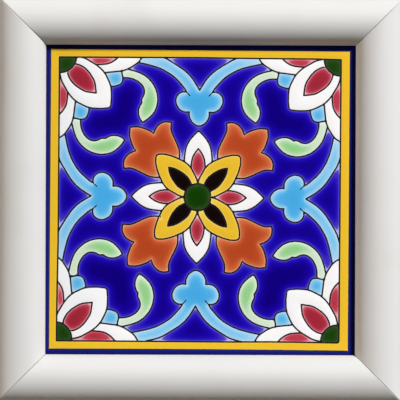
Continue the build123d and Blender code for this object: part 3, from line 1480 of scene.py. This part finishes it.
@dataclass
class Tile:
    """The tile: its glazed face, its rounded edge and the waffle of keying pockets in its back.

    Args:
        half: half its side, in millimetres as all its sizes.
        low: the height of its back.
        top: the height of its glazed face.
        sink: how deep the cords lie under the glaze.
        edge_radius: radius of the edge round the face.
        edge_bends: steps round that edge.
        face_bends: how many of them share the face's zone of the bake map.
        edge_film: the glaze film's depth on the edge.
        skirt: how far down from the face the glaze runs.
        back_bevel: the bevel round the back.
        crease: the bend from which an edge is shaded sharp.
        side_steps: steps along each side.
        corner_steps: steps round each corner.
        pockets_across: keying pockets in a row.
        pocket_pitch: from each of them to the next.
        pocket_half: half a pocket's width.
        pocket_radius: radius of its corners.
        pocket_bend: steps round half a corner.
        pocket_depth: how deep it is.
        pocket_draft: how far its walls lean.
        pocket_mouth: how far the edge round its mouth is eased.
        pocket_foot: how far in and how far up the edge round its floor is eased.
    """

    half: float
    low: float
    top: float
    sink: float = 0.28
    edge_radius: float = 1.0
    edge_bends: int = 4
    face_bends: int = 3
    edge_film: float = 0.8
    skirt: float = 2.5
    back_bevel: float = 0.8
    crease: float = math.radians(40)
    side_steps: int = 100
    corner_steps: int = 4
    pockets_across: int = 5
    pocket_pitch: float = 37.0
    pocket_half: float = 16.0
    pocket_radius: float = 3.0
    pocket_bend: int = 3
    pocket_depth: float = 0.8
    pocket_draft: float = math.radians(30)
    pocket_mouth: float = 0.25
    pocket_foot: Point = (0.3, 0.2)

    def build(self) -> bpy.types.Object:
        """Builds the whole tile as one closed piece in the place of its node.

        Returns:
            The piece.
        """
        flat = self.half - self.edge_radius
        ornament = Ornament()
        ornament.lay()
        face = TileFace(ornament, flat, self.side_steps)
        face.cut()
        shell = Shell()
        height = self.top - self.sink * (1.0 - face.film) ** 2
        shell.add(np.column_stack([face.points, height]), face.film)
        for corners, glaze in zip(face.triangles, face.glazes):
            shell.face(corners, int(glaze), Zone.FACE)
        edge = self._found(face.points, np.arange(len(face.points)), self._ring(flat, 0.0))
        sides = (Zone.SIDE_0, Zone.SIDE_1, Zone.SIDE_2, Zone.SIDE_3)
        for number, (out, z) in enumerate(self._levels()):
            lower = shell.add(at_height(self._ring(flat, out), z), self.edge_film)
            glazed = Glaze.NAVY if number <= self.edge_bends else Glaze.BISCUIT
            shell.bridge(edge, lower, glazed, (Zone.FACE,) if number < self.face_bends else sides)
            edge = lower
        lower = shell.add(at_height(self._ring(flat, self.edge_radius - self.back_bevel), self.low), 0.0)
        shell.bridge(edge, lower, Glaze.BISCUIT, (Zone.BACK,))
        self._add_back(shell, lower)
        glazes = [glaze.material() for glaze in GLAZES]
        finishes = [CordFinish().material(), *glazes, BiscuitFinish().material()]
        mesh = shell.mesh("tile_glazed", finishes, self.half, self.low)
        mesh.shade_smooth()
        mesh.set_sharp_from_angle(angle=self.crease)
        return shown("tile_glazed", mesh)

    def _levels(self) -> list[Point]:
        """The rings below the face, round its edge and down the side.

        Returns:
            How far out each ring lies, and its height.
        """
        radius = self.edge_radius
        levels = []
        for step in range(1, self.edge_bends + 1):
            bend = math.pi / 2 * step / self.edge_bends
            levels.append((radius * math.sin(bend), self.top - radius * (1 - math.cos(bend))))
        return levels + [(radius, self.top - self.skirt), (radius, self.low + self.back_bevel)]

    def _ring(self, half: float, out: float) -> np.ndarray:
        """A square with rounded corners, walked counterclockwise from its lower left.

        Args:
            half: half the square's side before it is widened.
            out: how far it is widened all round.

        Returns:
            Its points; each corner has corner_steps + 1 of them, even where they fall together.
        """
        side = []
        for step in range(self.corner_steps + 1):
            angle = math.pi + math.pi / 2 * step / self.corner_steps
            side.append((-half + out * math.cos(angle), -half + out * math.sin(angle)))
        for step in range(1, self.side_steps):
            side.append((-half + 2 * half * step / self.side_steps, -half - out))
        return four_sides(side)

    @staticmethod
    def _found(points: np.ndarray, numbers: np.ndarray, wanted: np.ndarray) -> np.ndarray:
        """The numbers of the points that lie at the wanted places."""
        known = dict(zip(map(tuple, points[:, :2].round(2).tolist()), numbers))
        return np.array([known[tuple(place)] for place in wanted.round(2).tolist()])

    def _add_back(self, shell: Shell, rim: np.ndarray) -> None:
        """Adds the waffle of pockets and joins it to the rim of the back.

        Args:
            shell: what the tile is put together in.
            rim: the ring round the back.
        """
        cell = shown("pocket_cell", self._pocket())
        waffle = self._waffler().run(
            bpy.data.meshes.new("waffle_host"), Cell=cell, Across=self.pockets_across,
            Pitch=self.pocket_pitch, Weld=0.01,
        )
        points = places(waffle)
        numbers = shell.add(points, 0.0)
        for polygon in waffle.polygons:
            shell.face([numbers[v] for v in polygon.vertices], Glaze.BISCUIT.value, Zone.BACK)
        on_back = np.abs(points[:, 2] - self.low) < SAME_PLACE
        square = self._ring(self.pocket_pitch * self.pockets_across / 2, 0.0)
        inner = self._found(points[on_back], numbers[on_back], square)
        shell.bridge(rim, inner, Glaze.BISCUIT, (Zone.BACK,))
        bpy.data.objects.remove(cell)

    def _pocket(self) -> bpy.types.Mesh:
        """Makes one cell of the waffle: a pocket with sloping walls and eased edges, open towards the back.

        Returns:
            The cell's mesh, in millimetres.
        """
        slope = math.tan(self.pocket_draft)
        core = self.pocket_half - self.pocket_radius
        cell_steps = self.side_steps // self.pockets_across
        bend = self.pocket_bend
        spread = self.pocket_pitch / 2
        outside, spots, away = [], [], []
        for step in range(cell_steps):
            outside.append((-spread + self.pocket_pitch * step / cell_steps, -spread))
            along = min(max(step, bend), cell_steps - bend)
            spots.append((-core + 2 * core * (along - bend) / (cell_steps - 2 * bend), -core))
            angle = math.radians(270 + 45 * (step - along) / bend)
            away.append((math.cos(angle), math.sin(angle)))
        shell = Shell()
        mouth, (foot_in, foot_up) = self.pocket_mouth, self.pocket_foot
        foot = self.pocket_depth - foot_up
        inset = [(-mouth, 0.0), (mouth * slope, mouth), (foot * slope, foot)]
        inset.append((self.pocket_depth * slope + foot_in, self.pocket_depth))
        before = shell.add(at_height(four_sides(outside), self.low), 0.0)
        for inward, deep in inset:
            side = np.array(spots) + (self.pocket_radius - inward) * np.array(away)
            after = shell.add(at_height(four_sides(side), self.low + deep), 0.0)
            shell.bridge(before, after, Glaze.BISCUIT, (Zone.BACK,))
            before = after
        shell.face(before[::-1], Glaze.BISCUIT.value, Zone.BACK)
        mesh = bpy.data.meshes.new("pocket_cell")
        mesh.from_pydata(np.vstack(shell.points).tolist(), [], shell.faces)
        return mesh

    @staticmethod
    def _waffler() -> NodeTool:
        """The tree that sets cells side by side in a square and welds their edges.

        Returns:
            The tool that runs it.
        """
        tool = NodeTool("waffle_back", Cell=bpy.types.Object, Across=int, Pitch=float, Weld=float)
        graph = tool.graph
        across = tool.given("Across")
        side = (across - 1.0) * tool.given("Pitch")
        lattice = {"Size X": side, "Size Y": side, "Vertices X": across, "Vertices Y": across}
        spots = graph.node("GeometryNodeMeshGrid", None, lattice, "Mesh")
        cells = {"Points": spots, "Instance": tool.shape("Cell")}
        copies = graph.node("GeometryNodeInstanceOnPoints", None, cells)
        solid = graph.node("GeometryNodeRealizeInstances", None, {"Geometry": copies})
        welded = {"Geometry": solid, "Distance": tool.given("Weld")}
        tool.end(graph.node("GeometryNodeMergeByDistance", None, welded))
        return tool


class Side(Enum):
    """The frame's rails, each with its quarter turns from the right-hand one."""

    RIGHT = 0
    TOP = 1
    LEFT = 2
    BOTTOM = 3


@dataclass
class Frame:
    """The picture frame: four rails of half-round moulding, mitred at the corners.

    Args:
        sight: half the opening, in millimetres as all its sizes.
        outer: half the outside.
        rebate: half the width of the rebate behind the lip.
        lip: the height of the lip's underside.
        top: the height of the crown.
        setback: how far the crown's highest line lies from the sight edge.
        rise: how far the crown rises over the sight edge.
        fall: how far it falls to the outer side.
        shoulder: radius between the crown and its upright sides.
        hairline: the width of the open mitre line.
        groove: width of the eased edge on each side of a mitre.
        dip: how far that edge is sunk, as a share of its width.
        rebate_ease: radius of the rebate's edge on the back.
        back_ease: radius of the outer edge on the back.
        lip_ease: radius of the lip's lower edge.
        crown_steps: steps on each side of the crown.
        crease: the bend from which an edge is shaded sharp.
        marks: waves of the brush marks to the metre, along a rail and across it.
    """

    sight: float
    outer: float
    rebate: float
    lip: float
    top: float
    setback: float = 14.0
    rise: float = 10.0
    fall: float = 13.0
    shoulder: float = 0.8
    hairline: float = 0.2
    groove: float = 0.35
    dip: float = 0.7
    rebate_ease: float = 0.3
    back_ease: float = 0.5
    lip_ease: float = 0.25
    crown_steps: int = 20
    crease: float = math.radians(35)
    marks: tuple[float, float] = (14.0, 520.0)

    def build(self) -> list[bpy.types.Object]:
        """Builds the four rails, each in the place of its node.

        Returns:
            The rails, in the order of their sides.
        """
        section = shown("moulding_section", self._section())
        tool = self._sweeper()
        few, many = self.marks
        across = LacquerFinish("white_lacquer_across", (few, many, many)).material()
        upright = LacquerFinish("white_lacquer_upright", (many, few, many)).material()
        rails = []
        for side in Side:
            finish = across if side in (Side.TOP, Side.BOTTOM) else upright
            mesh = tool.run(
                bpy.data.meshes.new("rail_host"), Section=section, Hairline=self.hairline / math.sqrt(2),
                Groove=self.groove, Dip=self.dip, Spring=self.top - self.rise,
                Turn=math.pi / 2 * side.value, Finish=finish,
            )
            mesh.set_sharp_from_angle(angle=self.crease)
            rails.append(shown(f"rail_{side.name.lower()}", mesh))
        bpy.data.objects.remove(section)
        return rails

    def _section(self) -> bpy.types.Curve:
        """Draws the moulding's section.

        Returns:
            A closed line, x away from the tile and y up.
        """
        crest = self.sight + self.setback
        outside = self._slope(crest, self.outer - crest, self.fall)
        inside = self._slope(crest, -self.setback, self.rise)
        crown = [*outside[::-1], (crest, self.top, 0.0), *inside]
        corners = [(self.rebate, 0.0, self.rebate_ease), (self.outer, 0.0, self.back_ease), *crown]
        corners += [(self.sight, self.lip, self.lip_ease), (self.rebate, self.lip, 0.0)]
        line = []
        for i, (x, y, ease) in enumerate(corners):
            here = np.array((x, y))
            before, after = np.array(corners[i - 1][:2]), np.array(corners[(i + 1) % len(corners)][:2])
            line += self._eased(before, here, after, ease)
        curve = bpy.data.curves.new("moulding_section", "CURVE")
        spline = curve.splines.new("POLY")
        spline.points.add(len(line) - 1)
        for knot, (x, y) in zip(spline.points, line):
            knot.co = (x, y, 0.0, 1.0)
        spline.use_cyclic_u = True
        return curve

    def _slope(self, crest: float, reach: float, drop: float) -> list[Point3]:
        """One side of the crown: an arc that is level at the crest.

        Args:
            crest: where the crest lies.
            reach: how far the arc runs from it, negative towards the tile.
            drop: how far it falls.

        Returns:
            Its points from the crest down, each with the radius it is eased by.
        """
        radius = (reach**2 + drop**2) / (2 * drop)
        swing = math.asin(reach / radius)
        points = []
        for step in range(1, self.crown_steps + 1):
            angle = swing * step / self.crown_steps
            ease = self.shoulder if step == self.crown_steps else 0.0
            points.append((crest + radius * math.sin(angle), self.top - radius * (1 - math.cos(angle)), ease))
        return points

    @staticmethod
    def _eased(
        before: np.ndarray, here: np.ndarray, after: np.ndarray, radius: float, steps: int = 5
    ) -> list[np.ndarray]:
        """Rounds one corner of a line.

        Args:
            before: the corner before it.
            here: the corner.
            after: the corner after it.
            radius: its radius, or 0 for a sharp one.
            steps: how many steps the round has.

        Returns:
            The points that take the corner's place.
        """
        if radius == 0.0:
            return [here]
        back, on = (way / np.linalg.norm(way) for way in (before - here, after - here))
        opening = math.acos(float(np.clip(back @ on, -1.0, 1.0)))
        cut = radius / math.tan(opening / 2)
        middle = here + (back + on) / np.linalg.norm(back + on) * radius / math.sin(opening / 2)
        start, end = here + back * cut - middle, here + on * cut - middle
        turn = math.atan2(start[0] * end[1] - start[1] * end[0], float(start @ end))
        return [middle + rotated(start, turn * step / steps) for step in range(steps + 1)]

    @staticmethod
    def _sweeper() -> NodeTool:
        """The tree that sweeps the section along a rail, cuts its mitres and turns it to its side.

        Returns:
            The tool that runs it.
        """
        tool = NodeTool(
            "mitred_rail", Section=bpy.types.Object, Hairline=float, Groove=float, Dip=float, Spring=float,
            Turn=float, Finish=bpy.types.Material,
        )
        graph = tool.graph
        # From the middle to each end a rail has three stretches: its body and the two rows of its eased edge
        stretches = 3
        ends = {"Start": (0.0, 0.0, -1.0), "End": (0.0, 0.0, 1.0)}
        line = {"Curve": graph.node("GeometryNodeCurvePrimitiveLine", None, ends), "Count": 2 * stretches + 1}
        path = graph.node("GeometryNodeResampleCurve", {"mode": "COUNT"}, line)
        swept = {"Curve": path, "Profile Curve": tool.shape("Section"), "Fill Caps": True}
        bar = graph.node("GeometryNodeCurveToMesh", None, swept)
        spot = graph.node("GeometryNodeInputPosition")
        parts = graph.node("ShaderNodeSeparateXYZ", None, {"Vector": spot})
        x, y, z = (Sock(graph, parts.socket.node.outputs[axis]) for axis in "XYZ")
        stretch = graph.math("ABSOLUTE", z) * float(stretches)
        hand = graph.math("SIGN", z)
        groove = tool.given("Groove")
        plain = x - tool.given("Hairline") - groove * 2.0
        body = graph.math("MINIMUM", stretch, 1.0)
        rim = graph.math("MINIMUM", graph.math("MAXIMUM", stretch - 1.0, 0.0), 1.0)
        tip = graph.math("MAXIMUM", stretch - 2.0, 0.0)
        along = hand * (body * plain + (rim + tip) * groove)
        crowned = y > tool.given("Spring")
        height = y - tip * crowned * groove * tool.given("Dip")
        moved = {"Geometry": bar, "Position": graph.vector(X=x * MM, Y=along * MM, Z=height * MM)}
        rail = graph.node("GeometryNodeSetPosition", None, moved)
        angles = graph.vector(Z=tool.given("Turn"))
        turned = graph.node("GeometryNodeTransform", None, {"Geometry": rail, "Rotation": angles})
        smooth = graph.node("GeometryNodeSetShadeSmooth", None, {"Geometry": turned})
        outward = graph.node("GeometryNodeFlipFaces", None, {"Mesh": smooth})
        tool.end(outward, tool.given("Finish"))
        return tool


@dataclass(frozen=True)
class Lamp:
    """A round lamp that looks at the tile.

    Args:
        name: the lamp's name.
        level: how brightly it lights a surface that faces it; 1 shows a colour as it is written.
        way: the direction that its light comes from.
        width: its width in metres.
        tint: its display colour.
        distance: how far it stands from the tile.
    """

    name: str
    level: float
    way: Point3
    width: float
    tint: Rgb
    distance: float = 9.0

    def hang(self) -> None:
        """Puts the lamp in the scene."""
        light = bpy.data.lights.new(self.name, "AREA")
        light.energy = self.level * (math.pi * self.distance) ** 2
        light.color = linear(self.tint)[:3]
        light.shape = "DISK"
        light.size = self.width
        towards = Vector(self.way).normalized()
        made = bpy.data.objects.new(self.name, light)
        made.location = towards * self.distance
        made.rotation_euler = towards.to_track_quat("Z", "Y").to_euler()
        bpy.context.scene.collection.objects.link(made)


@dataclass
class Studio:
    """Floor, lights and camera.

    Args:
        view_width: width of the view, in metres.
        view_level: the height that it has that width at.
        view_height: how high the camera stands.
        sensor: the camera's sensor width, in millimetres.
        aim: where its axis meets the tile.
        roll: its turn about that axis in degrees.
        lamps: the key light from the upper right and the weak warm light from the left.
        dome: the level of the light from all round.
        horizon: its display colour at the sides.
        overhead: its display colour overhead.
        dusk: the heights in the sky where the one starts to fade, and where the other is full.
        floor_side: the floor's side, in metres as the other sizes.
        floor_drop: how far the floor lies under the frame.
        floor_colour: its display colour.
        floor_cloud: how much paler its clouds are.
    """

    view_width: float = 0.2478
    view_level: float = 0.010
    view_height: float = 0.9
    sensor: float = 36.0
    aim: Point = (-0.00035, 0.0)
    roll: float = 0.2
    lamps: tuple[Lamp, ...] = (
        Lamp("key", 1.345, (0.510, 0.572, 0.642), 1.35, (255, 255, 255)),
        Lamp("fill", 0.350, (-0.942, -0.078, 0.326), 3.0, (255, 240, 224)),
    )
    dome: float = 0.05
    horizon: Rgb = (255, 244, 232)
    overhead: Rgb = (60, 58, 57)
    dusk: tuple[float, float] = (0.62, 0.92)
    floor_side: float = 4.0
    floor_drop: float = 0.0001
    floor_colour: Rgb = (184, 180, 174)
    floor_cloud: int = 6

    def build(self) -> None:
        """Sets up the whole studio."""
        self._floor()
        for lamp in self.lamps:
            lamp.hang()
        self._world()
        self._camera()
        bpy.context.scene.view_settings.view_transform = "Standard"

    def _floor(self) -> None:
        """A plain pale floor under the frame."""
        corners = four_sides([(-self.floor_side / 2, -self.floor_side / 2)])
        mesh = bpy.data.meshes.new("studio_floor")
        mesh.from_pydata(at_height(corners, -self.floor_drop).tolist(), [], [(0, 1, 2, 3)])
        made = Finish("studio_floor")
        cloud = made.graph.noise(made.place, 3.0)
        paler = tuple(min(255, level + self.floor_cloud) for level in self.floor_colour)
        made.set(Base_Color=made.graph.mix(self.floor_colour, paler, cloud), Roughness=0.9)
        mesh.materials.append(made.material)
        shown("studio_floor", mesh)

    def _world(self) -> None:
        """Dim light from all round, pale at the horizon and dark overhead."""
        world = bpy.data.worlds.new("studio_world")
        world.use_nodes = True
        bpy.context.scene.world = world
        graph = Graph(world.node_tree)
        way = graph.node("ShaderNodeTexCoord", None, None, "Generated")
        height = graph.node("ShaderNodeSeparateXYZ", None, {"Vector": way}, "Z")
        sky = graph.mix(self.horizon, self.overhead, height.ramped(*self.dusk))
        background = world.node_tree.nodes["Background"]
        graph.feed(background.inputs["Color"], sky)
        background.inputs["Strength"].default_value = self.dome

    def _camera(self) -> None:
        """A camera that looks straight down."""
        lens = bpy.data.cameras.new("camera")
        lens.sensor_width = self.sensor
        lens.lens = self.sensor * (self.view_height - self.view_level) / self.view_width
        made = bpy.data.objects.new("camera", lens)
        made.location = (*self.aim, self.view_height)
        made.rotation_euler = (0.0, 0.0, math.radians(self.roll))
        bpy.context.scene.collection.objects.link(made)
        bpy.context.scene.camera = made


def main() -> None:
    """Builds the studio, the tile and the frame, and writes down how large they are."""
    logging.basicConfig(level=logging.INFO, format="%(name)s: %(message)s")
    Studio().build()
    low, high = (np.array(corner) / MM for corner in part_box("tile"))
    tile = Tile(half=float(high[0]), low=float(low[2]), top=float(high[2]))
    piece = tile.build()
    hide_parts("tile")
    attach(piece, BODY)
    log.info("%s: %d triangles", piece.name, sum(len(p.vertices) - 2 for p in piece.data.polygons))
    low, high = (np.array(corner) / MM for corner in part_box("frame_rail_right"))
    moulding = Frame(
        sight=float(low[0]), outer=float(high[0]), rebate=tile.half + REBATE_CLEARANCE, lip=tile.top,
        top=float(high[2]),
    )
    for side, rail in zip(Side, moulding.build()):
        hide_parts(f"frame_rail_{side.name.lower()}")
        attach(rail, BODY)
        log.info("%s: %d triangles", rail.name, sum(len(p.vertices) - 2 for p in rail.data.polygons))


if __name__ == "__main__":
    main()
